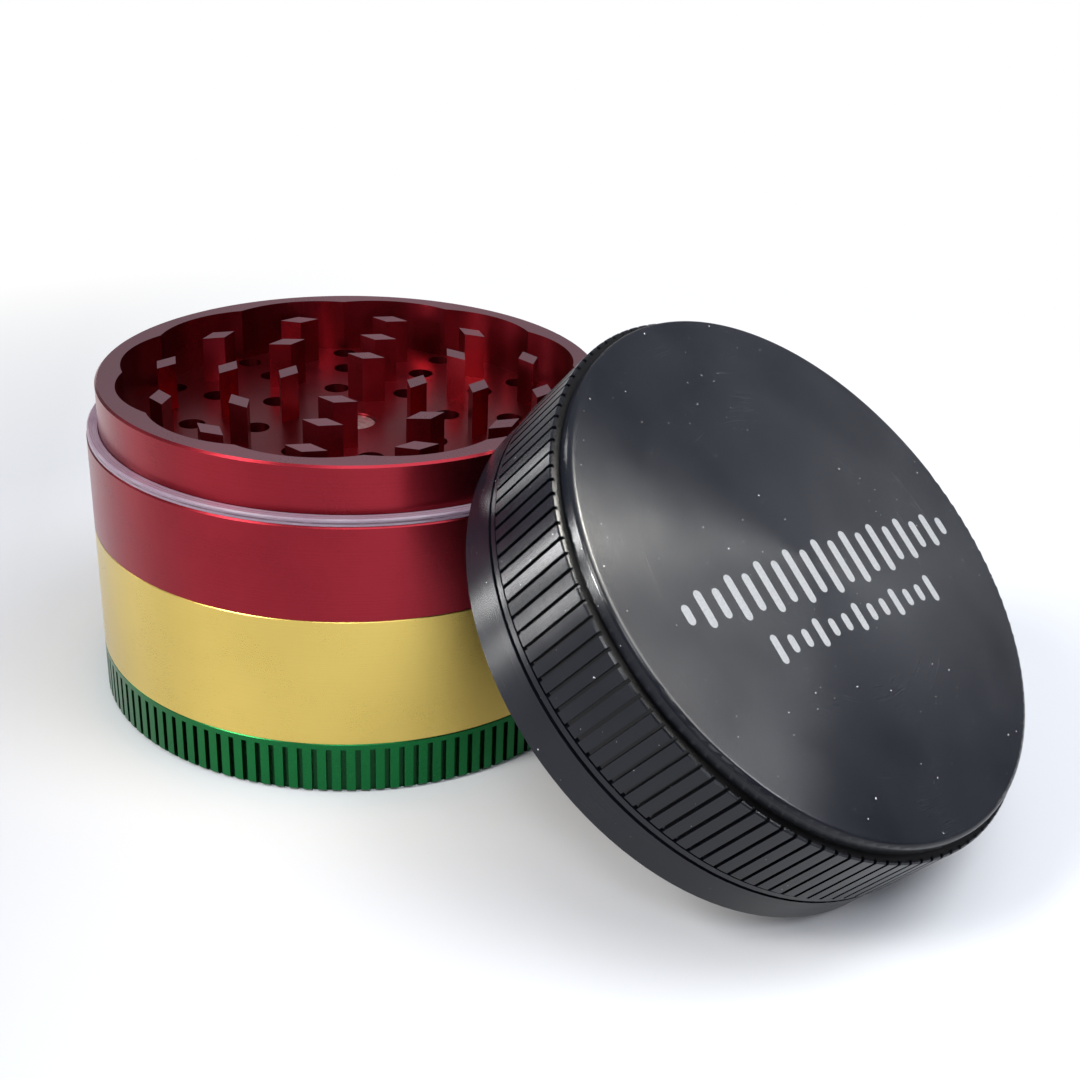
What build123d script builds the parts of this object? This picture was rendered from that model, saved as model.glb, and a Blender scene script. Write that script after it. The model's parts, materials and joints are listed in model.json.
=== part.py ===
from build123d import *
import math
import os

# Four-piece anodised hand grinder, millimetres. The catcher's underside centre is the
# origin, +Z is up, and the lid stands on its rim leaning back on the chamber from +X.

# Stack
BODY_R = 31.5
JOINT_1_Z = 6.45        # catcher to storage
JOINT_2_Z = 22.05       # storage to chamber
SHOULDER_Z = 33.4       # shoulder the slip ring lies on
COLLAR_TOP_Z = 39.7
COLLAR_R = 30.1
EDGE_BREAK = 0.25
JOINT_EDGE_BREAK = 0.08

# Screw joints: the lower piece is bored, the upper piece has a threaded spigot
THREAD_PITCH = 1.5
MALE_ROOT_R = 28.4
MALE_CREST_R = 29.0
FEMALE_MINOR_R = 28.55
FEMALE_MAJOR_R = 29.12
RIDGE_ROOT_W = 0.86
RIDGE_CREST_W = 0.42
FLANK_GAP = 0.1
SPIGOT_LENGTH = 4.25
THREAD_SPAN = 2.6

# Catcher, and the grip slots it shares with the lid
CATCHER_FLOOR = 1.6
SLOT_COUNT = 120
CATCHER_SLOT_SHARE = 0.38
CATCHER_SLOT_DEPTH = 0.6
CATCHER_SLOT_TOP = 5.75
CATCHER_FOOT = 0.4
LID_SLOT_SHARE = 0.26
LID_SLOT_DEPTH = 0.42

# Storage and screen
LEDGE_Z = 7.6
LEDGE_R = 24.6
STORAGE_BORE_R = 28.0
SCREEN_R = 27.2
SCREEN_THICKNESS = 0.25
SCREEN_PITCH = 2.4
SCREEN_APERTURE = 1.6
HOOP_INNER_R = 25.2
HOOP_OUTER_R = 27.7
HOOP_HEIGHT = 1.0
SNAP_INNER_R = 26.3
SNAP_OUTER_R = 28.5
SNAP_HEIGHT = 0.8
SNAP_GAP_DEG = 34.0
RUNNING_GAP = 0.1

# Grinding chamber
CHAMBER_FLOOR_Z = 33.0
FLOOR_THICKNESS = 2.4
CHAMBER_SKIRT_R = 26.8
SCALLOP_COUNT = 12
SCALLOP_R = 13.7
SCALLOP_PITCH_R = 14.3
TOOTH_PHASE_DEG = 29.2
TOOTH_LENGTH = 4.9
TOOTH_WIDTH = 2.5
TOOTH_TURN_DEG = -8.0
TOOTH_TOP_Z = 38.75
TOOTH_RINGS = ((4, 7.9), (8, 15.4), (12, 23.1))
HOLE_RINGS = ((8, 11.75, 1.6), (12, 19.3, 1.6), (12, 25.35, 1.5))
MAGNET_R = 2.8
MAGNET_THICKNESS = 1.6
MAGNET_RECESS = 0.25

# Slip ring
RING_INNER_R = 30.2
RING_OUTER_R = 31.4
RING_THICKNESS = 0.8

# Lid, in its own frame: rim plane at 0, flat face at LID_HEIGHT
LID_R = 31.5
LID_HEIGHT = 17.4
SKIRT_R = 31.3
SKIRT_TOP = 4.5
BEAD_LOW = 4.95
BEAD_HIGH = 5.6
BAND_LOW = 6.05
BAND_HIGH = 15.5
LID_GROOVE_R = 30.85
NECK_R = 30.55
FACE_EDGE_FILLET = 0.55
LID_BORE_R = 30.25
LID_BORE_DEPTH = 6.6
LID_CAVITY_R = 27.2
LID_CAVITY_DEPTH = 12.4
LID_TOOTH_TIP = 2.2
LID_TOOTH_RINGS = ((6, 11.65), (10, 19.3))
LID_POST_R = 4.4
LID_POST_TIP = 0.4

# Leaning pose of the lid
LEAN_DEG = 49.0         # lid axis above the horizontal
REST_GAP = 0.15         # skirt to collar, along the lid axis


def tube(outer, inner, low, high):
    """Ring between two radii and two heights."""
    height = high - low
    body = Cylinder(outer, height, align=(Align.CENTER, Align.CENTER, Align.MIN))
    bore = Cylinder(inner, height, align=(Align.CENTER, Align.CENTER, Align.MIN))
    return Pos(0, 0, low) * (body - bore)


def disc(radius, low, high):
    """Solid disc between two heights."""
    return Pos(0, 0, low) * Cylinder(
        radius, high - low, align=(Align.CENTER, Align.CENTER, Align.MIN)
    )


def turned(points):
    """Solid of revolution from (radius, height) points."""
    return revolve(Plane.XZ * make_face(Polyline(*points, close=True)), Axis.Z)


def helix_ridge(root_r, crest_r, root_w, crest_w, low, span):
    """Trapezoidal helical ridge, right-handed, starting at angle 0 and height low."""
    sink = 0.12
    path = Helix(pitch=THREAD_PITCH, height=span, radius=root_r)
    slope = (root_w - crest_w) / 2 / (crest_r - root_r)
    base_w = root_w + 2 * slope * sink
    section = Plane(
        origin=path @ 0, x_dir=(1, 0, 0), z_dir=path % 0
    ) * make_face(
        Polyline(
            (-sink, -base_w / 2),
            (crest_r - root_r, -crest_w / 2),
            (crest_r - root_r, crest_w / 2),
            (-sink, base_w / 2),
            close=True,
        )
    )
    return Pos(0, 0, low) * sweep(section, path=path, is_frenet=True)


def male_thread(joint_z):
    """Ridge on the spigot that hangs below a joint plane."""
    low = joint_z - SPIGOT_LENGTH + 0.75
    return helix_ridge(
        MALE_ROOT_R, MALE_CREST_R, RIDGE_ROOT_W, RIDGE_CREST_W, low, THREAD_SPAN
    )


def female_thread(joint_z):
    """Groove cutter for the bore below a joint plane. It runs out through the mouth."""
    lead_turns = 0.25
    low = joint_z - SPIGOT_LENGTH + 0.75 - lead_turns * THREAD_PITCH
    extra = 2 * FLANK_GAP
    groove = helix_ridge(
        FEMALE_MINOR_R,
        FEMALE_MAJOR_R,
        RIDGE_ROOT_W + extra,
        RIDGE_CREST_W + extra,
        low,
        SPIGOT_LENGTH + 0.75,
    )
    return groove.rotate(Axis.Z, -360 * lead_turns)


def slot_cutters(radius, share, depth, low, high):
    """Straight axial slots around a grip band."""
    width = 2 * math.pi * radius / SLOT_COUNT * share
    height = high - low
    slot = Box(2 * depth, width, height, align=(Align.CENTER, Align.CENTER, Align.MIN))
    return [Pos(0, 0, low) * place * slot for place in PolarLocations(radius, SLOT_COUNT)]


def diamond_teeth(rings, low, high, phase):
    """Rhombic teeth standing in rings, long diagonal nearly along the ring."""
    outline = Polyline(
        (0, -TOOTH_LENGTH / 2),
        (TOOTH_WIDTH / 2, 0),
        (0, TOOTH_LENGTH / 2),
        (-TOOTH_WIDTH / 2, 0),
        close=True,
    )
    tooth = extrude(make_face(outline), high - low)
    teeth = []
    for count, radius in rings:
        for index in range(count):
            place = Rot(0, 0, phase + 360 * index / count) * Pos(radius, 0, low)
            teeth.append(place * Rot(0, 0, TOOTH_TURN_DEG) * tooth)
    return teeth


def kief_catcher():
    """Shallow bottom cup with a slotted grip."""
    body = turned(
        (
            (0, 0),
            (BODY_R - CATCHER_FOOT, 0),
            (BODY_R, CATCHER_FOOT),
            (BODY_R, JOINT_1_Z - JOINT_EDGE_BREAK),
            (BODY_R - JOINT_EDGE_BREAK, JOINT_1_Z),
            (FEMALE_MINOR_R, JOINT_1_Z),
            (FEMALE_MINOR_R, CATCHER_FLOOR + 0.6),
            (FEMALE_MINOR_R - 0.6, CATCHER_FLOOR),
            (0, CATCHER_FLOOR),
        )
    )
    body -= slot_cutters(BODY_R, CATCHER_SLOT_SHARE, CATCHER_SLOT_DEPTH, -1, CATCHER_SLOT_TOP)
    return body - female_thread(JOINT_1_Z)


def storage_chamber():
    """Middle cup: threaded spigot below, ledge for the screen, threaded bore above."""
    snap_low = LEDGE_Z + 0.05 + SCREEN_THICKNESS + HOOP_HEIGHT
    groove_low = snap_low - RUNNING_GAP
    groove_high = snap_low + SNAP_HEIGHT + RUNNING_GAP
    groove_r = SNAP_OUTER_R + RUNNING_GAP
    thread_low = JOINT_2_Z - SPIGOT_LENGTH - 0.3
    body = turned(
        (
            (LEDGE_R, JOINT_1_Z - SPIGOT_LENGTH),
            (MALE_ROOT_R - 0.3, JOINT_1_Z - SPIGOT_LENGTH),
            (MALE_ROOT_R, JOINT_1_Z - SPIGOT_LENGTH + 0.3),
            (MALE_ROOT_R, JOINT_1_Z),
            (BODY_R - JOINT_EDGE_BREAK, JOINT_1_Z),
            (BODY_R, JOINT_1_Z + JOINT_EDGE_BREAK),
            (BODY_R, JOINT_2_Z - JOINT_EDGE_BREAK),
            (BODY_R - JOINT_EDGE_BREAK, JOINT_2_Z),
            (FEMALE_MINOR_R, JOINT_2_Z),
            (FEMALE_MINOR_R, thread_low),
            (STORAGE_BORE_R, thread_low),
            (STORAGE_BORE_R, groove_high),
            (groove_r, groove_high),
            (groove_r, groove_low),
            (STORAGE_BORE_R, groove_low),
            (STORAGE_BORE_R, LEDGE_Z),
            (LEDGE_R, LEDGE_Z),
        )
    )
    return body + male_thread(JOINT_1_Z) - female_thread(JOINT_2_Z)


def screen_mesh():
    """Sieve disc with square apertures."""
    half = int(SCREEN_R / SCREEN_PITCH)
    reach = HOOP_INNER_R - 0.4 - SCREEN_APERTURE * 0.71
    centres = []
    for column in range(-half, half + 1):
        for row in range(-half, half + 1):
            x = column * SCREEN_PITCH
            y = row * SCREEN_PITCH
            if math.hypot(x, y) < reach:
                centres.append((x, y))
    sheet = Circle(SCREEN_R) - Locations(*centres) * Rectangle(SCREEN_APERTURE, SCREEN_APERTURE)
    return Pos(0, 0, LEDGE_Z + 0.05) * extrude(sheet, SCREEN_THICKNESS)


def screen_hoop():
    """Flat ring that holds the screen down on the ledge."""
    low = LEDGE_Z + 0.05 + SCREEN_THICKNESS
    return tube(HOOP_OUTER_R, HOOP_INNER_R, low, low + HOOP_HEIGHT)


def screen_snap_ring():
    """Open ring sprung into the groove of the storage bore."""
    low = LEDGE_Z + 0.05 + SCREEN_THICKNESS + HOOP_HEIGHT
    ring = tube(SNAP_OUTER_R, SNAP_INNER_R, low, low + SNAP_HEIGHT)
    reach = 2 * SNAP_OUTER_R
    spread = reach * math.tan(math.radians(SNAP_GAP_DEG / 2))
    wedge = extrude(make_face(Polyline((0, 0), (-reach, spread), (-reach, -spread), close=True)), 4)
    return ring - Pos(0, 0, low - 1) * wedge


def slip_ring():
    """Loose plastic washer on the chamber's shoulder."""
    return turned(
        (
            (RING_INNER_R, SHOULDER_Z),
            (RING_OUTER_R, SHOULDER_Z),
            (RING_OUTER_R, SHOULDER_Z + RING_THICKNESS - 0.15),
            (RING_OUTER_R - 0.15, SHOULDER_Z + RING_THICKNESS),
            (RING_INNER_R, SHOULDER_Z + RING_THICKNESS),
        )
    )


def grinding_chamber():
    """Toothed and drilled cup with a collar above its shoulder."""
    floor_low = CHAMBER_FLOOR_Z - FLOOR_THICKNESS
    body = turned(
        (
            (CHAMBER_SKIRT_R, JOINT_2_Z - SPIGOT_LENGTH),
            (MALE_ROOT_R - 0.3, JOINT_2_Z - SPIGOT_LENGTH),
            (MALE_ROOT_R, JOINT_2_Z - SPIGOT_LENGTH + 0.3),
            (MALE_ROOT_R, JOINT_2_Z),
            (BODY_R - JOINT_EDGE_BREAK, JOINT_2_Z),
            (BODY_R, JOINT_2_Z + JOINT_EDGE_BREAK),
            (BODY_R, SHOULDER_Z - EDGE_BREAK),
            (BODY_R - EDGE_BREAK, SHOULDER_Z),
            (COLLAR_R, SHOULDER_Z),
            (COLLAR_R, COLLAR_TOP_Z - EDGE_BREAK),
            (COLLAR_R - EDGE_BREAK, COLLAR_TOP_Z),
            (0, COLLAR_TOP_Z),
            (0, floor_low),
            (CHAMBER_SKIRT_R, floor_low),
        )
    )
    scallop = disc(SCALLOP_R, CHAMBER_FLOOR_Z, COLLAR_TOP_Z + 1)
    scallops = [
        Rot(0, 0, TOOTH_PHASE_DEG + 360 * index / SCALLOP_COUNT) * Pos(SCALLOP_PITCH_R, 0, 0) * scallop
        for index in range(SCALLOP_COUNT)
    ]
    body -= scallops + [disc(SCALLOP_PITCH_R, CHAMBER_FLOOR_Z, COLLAR_TOP_Z + 1)]
    drills = []
    for count, radius, hole_r in HOLE_RINGS:
        drill = disc(hole_r, floor_low - 1, CHAMBER_FLOOR_Z + 1)
        for index in range(count):
            turn = TOOTH_PHASE_DEG + 360 * (index + 0.5) / count
            drills.append(Rot(0, 0, turn) * Pos(radius, 0, 0) * drill)
    body -= drills
    pocket_low = CHAMBER_FLOOR_Z - MAGNET_RECESS - MAGNET_THICKNESS
    body -= disc(MAGNET_R + 0.02, pocket_low, CHAMBER_FLOOR_Z + 1)
    body += diamond_teeth(TOOTH_RINGS, CHAMBER_FLOOR_Z - 0.2, TOOTH_TOP_Z, TOOTH_PHASE_DEG)
    return body + male_thread(JOINT_2_Z)


def chamber_magnet():
    """Disc magnet let into the chamber's floor."""
    low = CHAMBER_FLOOR_Z - MAGNET_RECESS - MAGNET_THICKNESS
    return chamfer(disc(MAGNET_R, low, low + MAGNET_THICKNESS).edges(), 0.2)


def lid_shell():
    """Cap with a slotted grip, inner teeth and a magnet post, in its own frame."""
    body = turned(
        (
            (LID_BORE_R, 0),
            (SKIRT_R - 0.3, 0),
            (SKIRT_R, 0.3),
            (SKIRT_R, SKIRT_TOP),
            (LID_GROOVE_R, SKIRT_TOP),
            (LID_GROOVE_R, BEAD_LOW),
            (SKIRT_R, BEAD_LOW),
            (SKIRT_R, BEAD_HIGH),
            (LID_GROOVE_R, BEAD_HIGH),
            (LID_GROOVE_R, BAND_LOW),
            (LID_R, BAND_LOW),
            (LID_R, BAND_HIGH - 0.15),
            (LID_R - 0.15, BAND_HIGH),
            (NECK_R, BAND_HIGH + 0.1),
            (NECK_R, LID_HEIGHT),
            (0, LID_HEIGHT),
            (0, LID_CAVITY_DEPTH),
            (LID_CAVITY_R, LID_CAVITY_DEPTH),
            (LID_CAVITY_R, LID_BORE_DEPTH),
            (LID_BORE_R, LID_BORE_DEPTH),
        )
    )
    face_edge = body.edges().filter_by(GeomType.CIRCLE).group_by(Axis.Z)[-1]
    body = fillet(face_edge, FACE_EDGE_FILLET)
    body -= slot_cutters(LID_R, LID_SLOT_SHARE, LID_SLOT_DEPTH, BAND_LOW - 0.2, BAND_HIGH + 0.3)
    body += disc(LID_POST_R, LID_POST_TIP, LID_CAVITY_DEPTH + 0.2)
    body += diamond_teeth(LID_TOOTH_RINGS, LID_TOOTH_TIP, LID_CAVITY_DEPTH + 0.2, 0)
    pocket_top = LID_POST_TIP + MAGNET_RECESS + MAGNET_THICKNESS + RUNNING_GAP
    return body - disc(MAGNET_R + RUNNING_GAP, -1, pocket_top)


def lid_magnet():
    """Disc magnet in the tip of the lid's post, in the lid's own frame."""
    low = LID_POST_TIP + MAGNET_RECESS
    return chamfer(disc(MAGNET_R, low, low + MAGNET_THICKNESS).edges(), 0.2)


def lean_placement():
    """Location of the lid's own frame when its skirt rests on the collar and the floor."""
    lean = math.radians(LEAN_DEG)
    # The skirt's inner edge meets the collar's top edge at two points either side of
    # the lean, so the rim plane crosses the collar's top plane inside the collar.
    cross_x = COLLAR_R
    for _ in range(60):
        foot_x = cross_x + (COLLAR_TOP_Z * math.sin(lean) + REST_GAP) / math.cos(lean)
        along = math.hypot(foot_x - cross_x, COLLAR_TOP_Z) - SKIRT_R
        half_width = math.sqrt(LID_BORE_R**2 - along**2)
        cross_x += 0.5 * (math.sqrt((COLLAR_R - EDGE_BREAK) ** 2 - half_width**2) - cross_x)
    centre_x = foot_x - SKIRT_R * math.sin(lean)
    centre_z = SKIRT_R * math.cos(lean) - 0.3 * min(math.sin(lean), math.cos(lean))
    return Pos(centre_x, 0, centre_z) * Rot(0, 90 - LEAN_DEG, 0)


def main():
    os.makedirs("parts", exist_ok=True)
    lean = lean_placement()
    nodes = {
        "kief_catcher": kief_catcher(),
        "storage_chamber": storage_chamber(),
        "screen_mesh": screen_mesh(),
        "screen_hoop": screen_hoop(),
        "screen_snap_ring": screen_snap_ring(),
        "slip_ring": slip_ring(),
        "grinding_chamber": grinding_chamber(),
        "chamber_magnet": chamber_magnet(),
        "lid_shell": lean * lid_shell(),
        "lid_magnet": lean * lid_magnet(),
    }
    for name, shape in nodes.items():
        export_step(shape, f"parts/{name}.step")
        print(name, len(shape.solids()), round(shape.volume))
    print("lid rim centre", lean.position)


main()
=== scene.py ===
import json
import math

import bmesh
import bpy
from mathutils import Matrix, Vector


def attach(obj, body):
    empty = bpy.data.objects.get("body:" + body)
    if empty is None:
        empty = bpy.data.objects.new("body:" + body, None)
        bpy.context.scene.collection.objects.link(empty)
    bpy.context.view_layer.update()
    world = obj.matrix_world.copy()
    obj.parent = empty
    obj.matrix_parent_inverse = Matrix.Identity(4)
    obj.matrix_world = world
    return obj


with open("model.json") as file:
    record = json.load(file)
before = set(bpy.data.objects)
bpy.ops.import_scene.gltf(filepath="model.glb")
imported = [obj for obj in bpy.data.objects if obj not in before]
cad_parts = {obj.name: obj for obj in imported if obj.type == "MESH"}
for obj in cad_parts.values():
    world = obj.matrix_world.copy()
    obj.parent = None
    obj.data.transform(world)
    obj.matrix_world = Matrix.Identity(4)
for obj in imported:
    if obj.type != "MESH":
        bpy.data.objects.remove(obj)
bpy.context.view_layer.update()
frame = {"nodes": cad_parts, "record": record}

MM = 0.001

# Sizes of the part that the materials follow
BODY_R = 31.5 * MM
TOOTH_TOPS = 38.7 * MM
SLIP_RING_MIDDLE = 33.74 * MM
# Heights on the lid, from its rim
LID_BAND_LOW = 5.9 * MM
LID_BAND_HIGH = 15.9 * MM

# The lid's own axes: up through its face, down its slope, and across
spin = next(j for j in frame["record"]["behaviour"]["joints"] if j["name"] == "lid_spin")
LID_ORIGIN = Vector(spin["pos_m"])
LID_AXIS = Vector(spin["axis"]).normalized()
LID_DOWN = Vector((LID_AXIS.z, 0, -LID_AXIS.x))
LID_SIDE = LID_AXIS.cross(LID_DOWN)


# ---------------------------------------------------------------- camera
SENSOR_WIDTH = 36
FOCAL_LENGTH = 53
CAMERA_XYZ = Vector((122.3, -136.3, 104.6)) * MM
HEADING = math.radians(34.594)
PITCH = math.radians(26.169)
ROLL = math.radians(2.445)

camera_data = bpy.data.cameras.new("camera")
camera_data.sensor_width = SENSOR_WIDTH
camera_data.lens = FOCAL_LENGTH
camera_data.shift_x = 0.0022
camera_data.shift_y = 0.017
camera_data.clip_start = 0.01
camera = bpy.data.objects.new("camera", camera_data)
bpy.context.scene.collection.objects.link(camera)
forward = Vector(
    (-math.sin(HEADING) * math.cos(PITCH), math.cos(HEADING) * math.cos(PITCH), -math.sin(PITCH))
)
level_right = Vector((math.cos(HEADING), math.sin(HEADING), 0))
level_up = level_right.cross(forward)
right = level_right * math.cos(ROLL) + level_up * math.sin(ROLL)
up = right.cross(forward)
turn = Matrix((right, up, -forward)).transposed().to_4x4()
camera.matrix_world = Matrix.Translation(CAMERA_XYZ) @ turn
bpy.context.scene.camera = camera


# ---------------------------------------------------------------- node helpers
class Nodes:
    """Small wrapper that adds and links nodes of one material."""

    def __init__(self, name):
        self.material = bpy.data.materials.new(name)
        self.material.use_nodes = True
        self.tree = self.material.node_tree
        self.tree.nodes.clear()
        self.output = self.add("ShaderNodeOutputMaterial")
        self.shader = self.add("ShaderNodeBsdfPrincipled")
        self.link(self.shader.outputs["BSDF"], self.output.inputs["Surface"])

    def add(self, kind, **settings):
        node = self.tree.nodes.new(kind)
        for key, value in settings.items():
            setattr(node, key, value)
        return node

    def link(self, source, target):
        self.tree.links.new(source, target)

    def set(self, **values):
        for key, value in values.items():
            self.shader.inputs[key.replace("_", " ")].default_value = value

    def math(self, operation, first, second=None, clamp=False):
        node = self.add("ShaderNodeMath", operation=operation, use_clamp=clamp)
        for index, value in enumerate((first, second)):
            if value is None:
                continue
            if isinstance(value, (int, float)):
                node.inputs[index].default_value = value
            else:
                self.link(value, node.inputs[index])
        return node.outputs[0]

    def vector(self, operation, first, second=None):
        node = self.add("ShaderNodeVectorMath", operation=operation)
        for index, value in enumerate((first, second)):
            if value is None:
                continue
            if isinstance(value, (tuple, Vector)):
                node.inputs[index].default_value = value
            else:
                self.link(value, node.inputs[index])
        return node.outputs["Value"] if operation in ("DOT_PRODUCT", "LENGTH") else node.outputs[0]

    def object_point(self):
        return self.add("ShaderNodeTexCoord").outputs["Object"]

    def noise(self, vector, scale, detail=4.0, roughness=0.5):
        node = self.add("ShaderNodeTexNoise")
        node.inputs["Scale"].default_value = scale
        node.inputs["Detail"].default_value = detail
        node.inputs["Roughness"].default_value = roughness
        self.link(vector, node.inputs["Vector"])
        return node.outputs["Fac"]

    def ramp(self, value, stops):
        node = self.add("ShaderNodeValToRGB")
        elements = node.color_ramp.elements
        elements[0].position, elements[0].color = stops[0][0], (*stops[0][1], 1)
        elements[1].position, elements[1].color = stops[-1][0], (*stops[-1][1], 1)
        for position, colour in stops[1:-1]:
            elements.new(position).color = (*colour, 1)
        self.link(value, node.inputs["Fac"])
        return node.outputs["Color"]

    def span(self, value, low, high, to_low, to_high):
        node = self.add("ShaderNodeMapRange")
        for index, number in enumerate((low, high, to_low, to_high), start=1):
            node.inputs[index].default_value = number
        self.link(value, node.inputs[0])
        return node.outputs[0]

    def bump(self, height, strength, distance):
        node = self.add("ShaderNodeBump")
        node.inputs["Strength"].default_value = strength
        node.inputs["Distance"].default_value = distance
        self.link(height, node.inputs["Height"])
        self.link(node.outputs["Normal"], self.shader.inputs["Normal"])

    def mix_colour(self, factor, first, second):
        node = self.add("ShaderNodeMix", data_type="RGBA")
        # Inputs 6 and 7 are the node's two colours
        for index, value in ((0, factor), (6, first), (7, second)):
            socket = node.inputs[index]
            if isinstance(value, tuple):
                socket.default_value = (*value, 1)
            elif isinstance(value, (int, float)):
                socket.default_value = value
            else:
                self.link(value, socket)
        return node.outputs[2]


def turning_lines(nodes, origin, axis):
    """Distances along an axis and away from it, the ring direction, and the point."""
    point = nodes.vector("SUBTRACT", nodes.object_point(), tuple(origin))
    along = nodes.vector("DOT_PRODUCT", point, tuple(axis))
    ring = nodes.vector("CROSS_PRODUCT", tuple(axis), point)
    return along, nodes.vector("LENGTH", ring), ring, point


def line_noise(nodes, coordinate, lines_per_mm):
    """Uneven fine lines that follow one coordinate."""
    combine = nodes.add("ShaderNodeCombineXYZ")
    nodes.link(coordinate, combine.inputs[0])
    return nodes.noise(combine.outputs[0], lines_per_mm * 1000, detail=3, roughness=0.6)


def world_ring(nodes, ring):
    """Ring direction as a world-space tangent."""
    turn_node = nodes.add(
        "ShaderNodeVectorTransform", vector_type="VECTOR", convert_from="OBJECT", convert_to="WORLD"
    )
    nodes.link(ring, turn_node.inputs[0])
    nodes.link(nodes.vector("NORMALIZE", turn_node.outputs[0]), nodes.shader.inputs["Tangent"])


def blend(nodes, first, second, share):
    """Weighted mean of two values, share of it from the first."""
    return nodes.math(
        "ADD", nodes.math("MULTIPLY", first, share), nodes.math("MULTIPLY", second, 1 - share)
    )


def anodised(name, colour, deep, roughness=0.3, slot_radius=None, painted_top_sheen=None):
    """Dyed, turned aluminium: satin, with fine turning lines and faint cloudiness.

    Grip slots have painted shade, darker within slot_radius. Level faces at and above the height in
    painted_top_sheen have a painted highlight, the paler colour given with it.
    """
    nodes = Nodes(name)
    nodes.set(Metallic=1.0, Anisotropic=0.55, Anisotropic_Rotation=0.25)
    nodes.set(Coat_Weight=0.2, Coat_Roughness=0.25, Coat_IOR=1.45)
    along, radius, ring, point = turning_lines(nodes, (0, 0, 0), (0, 0, 1))
    world_ring(nodes, ring)
    lines = line_noise(nodes, nodes.math("ADD", along, radius), 9)
    clouds = nodes.noise(point, 160, detail=5)
    grain = nodes.noise(point, 9000, detail=2)
    shade = blend(nodes, lines, clouds, 0.75)
    base = nodes.ramp(shade, ((0.3, deep), (0.7, colour)))
    # Painted shade in the grip slots: darker towards the slot floors
    if slot_radius:
        shade_by_slot_depth = nodes.span(radius, slot_radius, slot_radius - 0.4 * MM, 0.0, 0.9)
        base = nodes.mix_colour(shade_by_slot_depth, base, tuple(value * 0.2 for value in colour))
    # Painted highlight on the level tops, in the paler colour given
    if painted_top_sheen:
        height, pale = painted_top_sheen
        normal = nodes.add("ShaderNodeTexCoord").outputs["Normal"]
        steepness = nodes.vector("DOT_PRODUCT", normal, (0, 0, 1))
        upward = nodes.span(steepness, 0.97, 0.995, 0.0, 1.0)
        above = nodes.span(along, height - 0.3 * MM, height, 0.0, 1.0)
        top_sheen = nodes.math("MULTIPLY", nodes.math("MULTIPLY", upward, above), 0.9)
        base = nodes.mix_colour(top_sheen, base, pale)
    nodes.link(base, nodes.shader.inputs["Base Color"])
    rough = blend(nodes, clouds, grain, 0.4)
    nodes.link(
        nodes.span(rough, 0.3, 0.7, roughness - 0.05, roughness + 0.06),
        nodes.shader.inputs["Roughness"],
    )
    relief = nodes.math("ADD", lines, nodes.math("MULTIPLY", grain, 0.5))
    nodes.bump(relief, 0.15, 0.00001)
    return nodes.material


def black_anodised():
    """Black dyed lid: faced in fine concentric lines, with a few specks of dust."""
    nodes = Nodes("black_anodised")
    nodes.set(Metallic=0.0, IOR=1.30, Anisotropic=0.78, Anisotropic_Rotation=0.25)
    along, radius, ring, point = turning_lines(nodes, LID_ORIGIN, LID_AXIS)
    world_ring(nodes, ring)
    across = nodes.math("ADD", along, radius)
    lines = blend(nodes, line_noise(nodes, across, 6), line_noise(nodes, across, 1.7), 0.5)
    clouds = nodes.noise(point, 140, detail=4)
    specks = nodes.noise(point, 2600, detail=1)
    dust = nodes.span(specks, 0.79, 0.82, 0.0, 0.5)
    base = nodes.ramp(
        clouds, ((0.3, (0.0020, 0.0024, 0.0042)), (0.7, (0.0035, 0.0040, 0.0062)))
    )
    base = nodes.mix_colour(dust, base, (0.55, 0.56, 0.58))
    # Painted shade in the grip slots of the lid's wall band: near black in the slot floors
    in_band = nodes.math(
        "MULTIPLY",
        nodes.span(along, LID_BAND_LOW, LID_BAND_LOW + 0.1 * MM, 0.0, 1.0),
        nodes.span(along, LID_BAND_HIGH, LID_BAND_HIGH - 0.1 * MM, 0.0, 1.0),
    )
    shade_by_slot_depth = nodes.span(radius, BODY_R - 0.12 * MM, BODY_R - 0.3 * MM, 0.0, 1.0)
    painted_slot_shade = nodes.math("MULTIPLY", in_band, shade_by_slot_depth)
    base = nodes.mix_colour(painted_slot_shade, base, (0.0008, 0.0008, 0.001))
    nodes.link(base, nodes.shader.inputs["Base Color"])
    rough = blend(nodes, lines, clouds, 0.6)
    nodes.link(nodes.span(rough, 0.38, 0.62, 0.20, 0.28), nodes.shader.inputs["Roughness"])
    nodes.bump(lines, 0.25, 0.00001)
    return nodes.material


def clear_plastic():
    """Cloudy clear plastic with fine lines round it and a little dirt in them."""
    nodes = Nodes("clear_plastic")
    nodes.set(IOR=1.46, Transmission_Weight=0.5, Specular_IOR_Level=0.6)
    along, radius, _, point = turning_lines(nodes, (0, 0, 0), (0, 0, 1))
    lines = line_noise(nodes, nodes.math("ADD", along, radius), 5)
    patches = nodes.noise(point, 150, detail=4, roughness=0.6)
    scattered = nodes.math(
        "MULTIPLY",
        nodes.span(lines, 0.50, 0.60, 0.0, 1.0),
        nodes.span(patches, 0.45, 0.56, 0.1, 0.85),
    )
    off_middle = nodes.math("ABSOLUTE", nodes.math("SUBTRACT", along, SLIP_RING_MIDDLE))
    middle_line = nodes.math(
        "MULTIPLY",
        nodes.span(off_middle, 0.05 * MM, 0.13 * MM, 1.0, 0.0),
        nodes.span(patches, 0.42, 0.5, 0.3, 0.9),
    )
    dirt = nodes.math("MAXIMUM", scattered, middle_line)
    base = nodes.ramp(patches, ((0.3, (0.34, 0.21, 0.31)), (0.7, (0.58, 0.47, 0.58))))
    nodes.link(nodes.mix_colour(dirt, base, (0.14, 0.06, 0.10)), nodes.shader.inputs["Base Color"])
    nodes.link(nodes.span(lines, 0.3, 0.7, 0.2, 0.4), nodes.shader.inputs["Roughness"])
    nodes.bump(nodes.math("ADD", lines, patches), 0.5, 0.00005)
    return nodes.material


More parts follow.
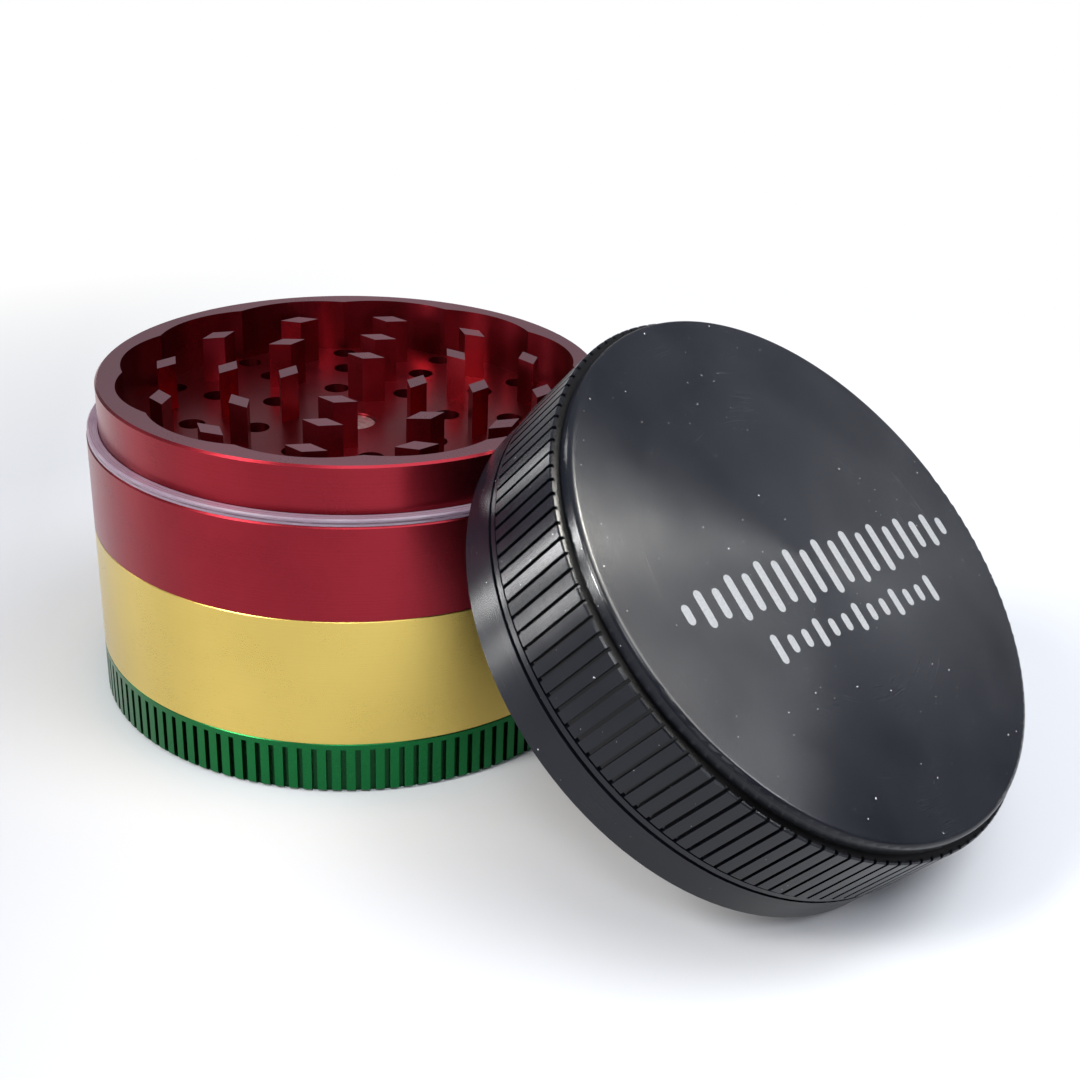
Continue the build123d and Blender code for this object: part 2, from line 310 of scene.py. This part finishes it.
def plain_metal(name, colour, roughness, scale):
    """Bare steel or nickel with fine scratches."""
    nodes = Nodes(name)
    nodes.set(Metallic=1.0)
    point = nodes.object_point()
    scratches = nodes.noise(point, scale, detail=6, roughness=0.65)
    dark = tuple(value * 0.72 for value in colour)
    base = nodes.ramp(scratches, ((0.3, dark), (0.7, colour)))
    nodes.link(base, nodes.shader.inputs["Base Color"])
    nodes.link(
        nodes.span(scratches, 0.3, 0.7, roughness - 0.06, roughness + 0.08),
        nodes.shader.inputs["Roughness"],
    )
    nodes.bump(scratches, 0.2, 0.00002)
    return nodes.material


def etched_mark():
    """Bare etched aluminium: pale, rough, slightly grainy."""
    nodes = Nodes("etched_mark")
    nodes.set(Metallic=0.2)
    grain = nodes.noise(nodes.object_point(), 6000, detail=3)
    nodes.link(
        nodes.ramp(grain, ((0.3, (0.46, 0.47, 0.48)), (0.7, (0.62, 0.63, 0.64)))),
        nodes.shader.inputs["Base Color"],
    )
    nodes.link(nodes.span(grain, 0.3, 0.7, 0.5, 0.7), nodes.shader.inputs["Roughness"])
    nodes.bump(grain, 0.3, 0.00001)
    return nodes.material


# ---------------------------------------------------------------- materials on CAD nodes
# The red's level tops at the teeth's height get a painted highlight in a paler red
RED = anodised(
    "red_anodised",
    (0.30, 0.016, 0.028),
    (0.20, 0.009, 0.017),
    painted_top_sheen=(TOOTH_TOPS, (0.44, 0.19, 0.23)),
)
GOLD = anodised("gold_anodised", (0.68, 0.51, 0.135), (0.60, 0.44, 0.105))
# The green's grip slots get painted shade
GREEN = anodised(
    "green_anodised",
    (0.006, 0.15, 0.037),
    (0.004, 0.105, 0.026),
    slot_radius=BODY_R - 0.1 * MM,
)
BLACK = black_anodised()
PLASTIC = clear_plastic()
STEEL = plain_metal("steel", (0.62, 0.62, 0.61), 0.34, 2500)
NICKEL = plain_metal("nickel", (0.86, 0.84, 0.80), 0.34, 1800)

NODE_MATERIALS = {
    "kief_catcher": GREEN,
    "storage_chamber": GOLD,
    "grinding_chamber": RED,
    "slip_ring": PLASTIC,
    "screen_mesh": STEEL,
    "screen_hoop": STEEL,
    "screen_snap_ring": STEEL,
    "chamber_magnet": NICKEL,
    "lid_magnet": NICKEL,
    "lid_shell": BLACK,
}
for node, material in NODE_MATERIALS.items():
    slots = frame["nodes"][node].data.materials
    for index in range(len(slots)):
        slots[index] = material
    if not slots:
        slots.append(material)


# ---------------------------------------------------------------- etched ornament on the lid
def lid_point(x, y, z):
    """Row-frame point from millimetres in the lid's own frame."""
    return LID_ORIGIN + (LID_DOWN * x + LID_SIDE * y + LID_AXIS * z) * MM


# Millimetres in the lid's own frame. A row is given by the place of its middle bar.
MARK_TURN = math.radians(79.8)
MARK_BASE = 17.4
MARK_TOP = 17.415
TALL_ROW = (0.9, 1.7)
TALL_PITCH = 2.6
TALL_WIDTH = 1.1
SHORT_ROW = (7.0, 0.9)
SHORT_PITCH = 2.4
SHORT_WIDTH = 1.0


def stadium(length, width, steps=8):
    """Outline of a bar with round ends, long side along the second axis."""
    radius = width / 2
    reach = length / 2 - radius
    points = []
    for centre, start in ((reach, 0), (-reach, 180)):
        for step in range(steps + 1):
            angle = math.radians(start + 180 * step / steps)
            points.append((radius * math.cos(angle), centre + radius * math.sin(angle)))
    return points


def add_plate(mesh, outline, row, shift):
    """Thin closed plate in a row of the ornament, shifted along the row."""
    loops = []
    for height in (MARK_TOP, MARK_BASE):
        loop = []
        for u, v in outline:
            along = u + shift
            x = row[0] + along * math.cos(MARK_TURN) - v * math.sin(MARK_TURN)
            y = row[1] + along * math.sin(MARK_TURN) + v * math.cos(MARK_TURN)
            loop.append(mesh.verts.new(lid_point(x, y, height)))
        loops.append(loop)
    top, low = loops
    mesh.faces.new(top)
    mesh.faces.new(list(reversed(low)))
    for i in range(len(outline)):
        j = (i + 1) % len(outline)
        mesh.faces.new((low[i], low[j], top[j], top[i]))


ornament = bmesh.new()
for index in range(-9, 10):
    length = 6.4 - 0.036 * index * index - (1.3 if index % 2 else 0.0)
    add_plate(ornament, stadium(length, TALL_WIDTH), TALL_ROW, index * TALL_PITCH)
for index in range(-6, 7):
    length = 3.2 if index % 3 == 0 else 2.0
    add_plate(ornament, stadium(length, SHORT_WIDTH), SHORT_ROW, index * SHORT_PITCH)
bmesh.ops.recalc_face_normals(ornament, faces=ornament.faces)
mark_mesh = bpy.data.meshes.new("lid_mark")
ornament.to_mesh(mark_mesh)
ornament.free()
lid_mark = bpy.data.objects.new("lid_mark", mark_mesh)
bpy.context.scene.collection.objects.link(lid_mark)
mark_mesh.materials.append(etched_mark())
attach(lid_mark, "lid")


# ---------------------------------------------------------------- floor and light
def floor_material():
    """Pale bluish paper with painted shade, darker round the object and greyer towards the key
    light; it fades to white further out.
    """
    nodes = Nodes("floor")
    nodes.set(Roughness=0.55, Specular_IOR_Level=0.25)
    point = nodes.vector("SUBTRACT", nodes.object_point(), (0.02, 0.0, 0.0))
    distance = nodes.vector("LENGTH", point)
    # Painted shadow: darker near the object, paler further out
    base = nodes.ramp(
        nodes.span(distance, 0.0, 0.4, 0.0, 1.0),
        ((0.1, (0.62, 0.635, 0.67)), (0.9, (0.84, 0.855, 0.88))),
    )
    # Painted shade on the key light's side, greying the floor there
    towards_key = nodes.vector("DOT_PRODUCT", point, (-0.7, -0.7, 0))
    base = nodes.mix_colour(
        nodes.span(towards_key, 0.0, 0.06, 0.0, 1.0), base, (0.45, 0.46, 0.485)
    )
    nodes.link(base, nodes.shader.inputs["Base Color"])
    glow = nodes.add("ShaderNodeEmission")
    glow.inputs["Color"].default_value = (1, 1, 1, 1)
    glow.inputs["Strength"].default_value = 1.0
    mix = nodes.add("ShaderNodeMixShader")
    nodes.link(nodes.span(distance, 0.10, 0.20, 0.0, 1.0), mix.inputs[0])
    nodes.link(nodes.shader.outputs["BSDF"], mix.inputs[1])
    nodes.link(glow.outputs[0], mix.inputs[2])
    nodes.link(mix.outputs[0], nodes.output.inputs["Surface"])
    return nodes.material


REACH = 3
corners = [(-REACH, -REACH, 0), (REACH, -REACH, 0), (REACH, REACH, 0), (-REACH, REACH, 0)]
floor_mesh = bpy.data.meshes.new("floor")
floor_mesh.from_pydata(corners, [], [(0, 1, 2, 3)])
floor = bpy.data.objects.new("floor", floor_mesh)
bpy.context.scene.collection.objects.link(floor)
floor_mesh.materials.append(floor_material())

world = bpy.data.worlds.new("studio")
bpy.context.scene.world = world
world.use_nodes = True
sky = world.node_tree
direction = sky.nodes.new("ShaderNodeTexCoord").outputs["Generated"]
split = sky.nodes.new("ShaderNodeSeparateXYZ")
sky.links.new(direction, split.inputs[0])
fade = sky.nodes.new("ShaderNodeValToRGB")
level, overhead = fade.color_ramp.elements
level.position, level.color = 0.0, (0.20, 0.21, 0.23, 1)
overhead.position, overhead.color = 0.9, (0.92, 0.94, 1.0, 1)
sky.links.new(split.outputs["Z"], fade.inputs["Fac"])
sky.links.new(fade.outputs["Color"], sky.nodes["Background"].inputs["Color"])
sky.nodes["Background"].inputs["Strength"].default_value = 0.6

# Seen directly, the surroundings are plain white paper; they light the object by the gradient
backdrop = sky.nodes.new("ShaderNodeBackground")
backdrop.inputs["Color"].default_value = (1, 1, 1, 1)
seen = sky.nodes.new("ShaderNodeMixShader")
sky.links.new(sky.nodes.new("ShaderNodeLightPath").outputs["Is Camera Ray"], seen.inputs[0])
sky.links.new(sky.nodes["Background"].outputs[0], seen.inputs[1])
sky.links.new(backdrop.outputs[0], seen.inputs[2])
sky.links.new(seen.outputs[0], sky.nodes["World Output"].inputs["Surface"])

AIM = Vector((20, 0, 20)) * MM
WARM = (1.0, 0.97, 0.90)


def soft_light(name, azimuth, elevation, distance, size, power, colour=(1, 1, 1)):
    """Rectangular area light aimed at the object: degrees, metres and watts."""
    heading = math.radians(azimuth)
    lift = math.radians(elevation)
    level_reach = math.cos(lift)
    away = Vector(
        (math.cos(heading) * level_reach, math.sin(heading) * level_reach, math.sin(lift))
    )
    data = bpy.data.lights.new(name, "AREA")
    data.shape = "RECTANGLE"
    data.size, data.size_y = size
    data.energy = power
    data.color = colour
    light = bpy.data.objects.new(name, data)
    bpy.context.scene.collection.objects.link(light)
    aim = away.to_track_quat("Z", "Y").to_matrix().to_4x4()
    light.matrix_world = Matrix.Translation(AIM + away * distance) @ aim
    return light


soft_light("key", -108, 40, 0.60, (0.16, 0.22), 2.8, WARM)
soft_light("front", -58, 44, 0.65, (0.16, 0.14), 1.2, (0.93, 0.96, 1.0))
soft_light("low_right", -28, 14, 0.60, (0.20, 0.10), 0.4, (0.88, 0.93, 1.0))
soft_light("low_left", -152, 9, 0.50, (0.10, 0.12), 0.6)
soft_light("overhead", -10, 72, 0.80, (0.6, 0.6), 3.0, (0.96, 0.98, 1.0))


def lights_only(name, targets, lights):
    """Keep the light of some lamps to a few objects."""
    group = bpy.data.collections.new(name)
    for target in targets:
        group.objects.link(target)
    for light in lights:
        light.light_linking.receiver_collection = group


# These rake the lid, so that its turned face and wall show their streaks of light
lights_only(
    "lid_only",
    [frame["nodes"]["lid_shell"]],
    (
        soft_light("fan", 15, 52, 0.21, (0.14, 0.15), 1.0, (1.0, 0.98, 0.93)),
        soft_light("fan_upper", 36, 54, 0.21, (0.03, 0.04), 0.48, (1.0, 0.97, 0.88)),
        soft_light("fan_lower", 26, 27, 0.21, (0.03, 0.03), 0.11, (0.97, 0.99, 1.0)),
        soft_light("fan_edge", 57, 36, 0.40, (0.02, 0.2), 0.09, (0.9, 0.95, 1.0)),
        soft_light("skirt", -150, 8, 0.40, (0.06, 0.05), 1.15),
        soft_light("skirt_top", 172, 8, 0.40, (0.05, 0.05), 0.1),
        soft_light("band", -131, 7, 0.40, (0.05, 0.07), 2.5),
    ),
)
# An upright streak on the left of the body's walls
WALLS = ("kief_catcher", "storage_chamber", "grinding_chamber")
lights_only(
    "body_only",
    [frame["nodes"][node] for node in WALLS],
    (soft_light("streak", -111, 12, 0.60, (0.05, 0.14), 0.65, WARM),),
)
# Evens out the floor on the side the other lights leave darker
lights_only(
    "floor_only",
    [floor],
    (soft_light("floor_fill", 20, 60, 0.60, (0.3, 0.3), 1.6),),
)

bpy.context.scene.view_settings.view_transform = "Standard"
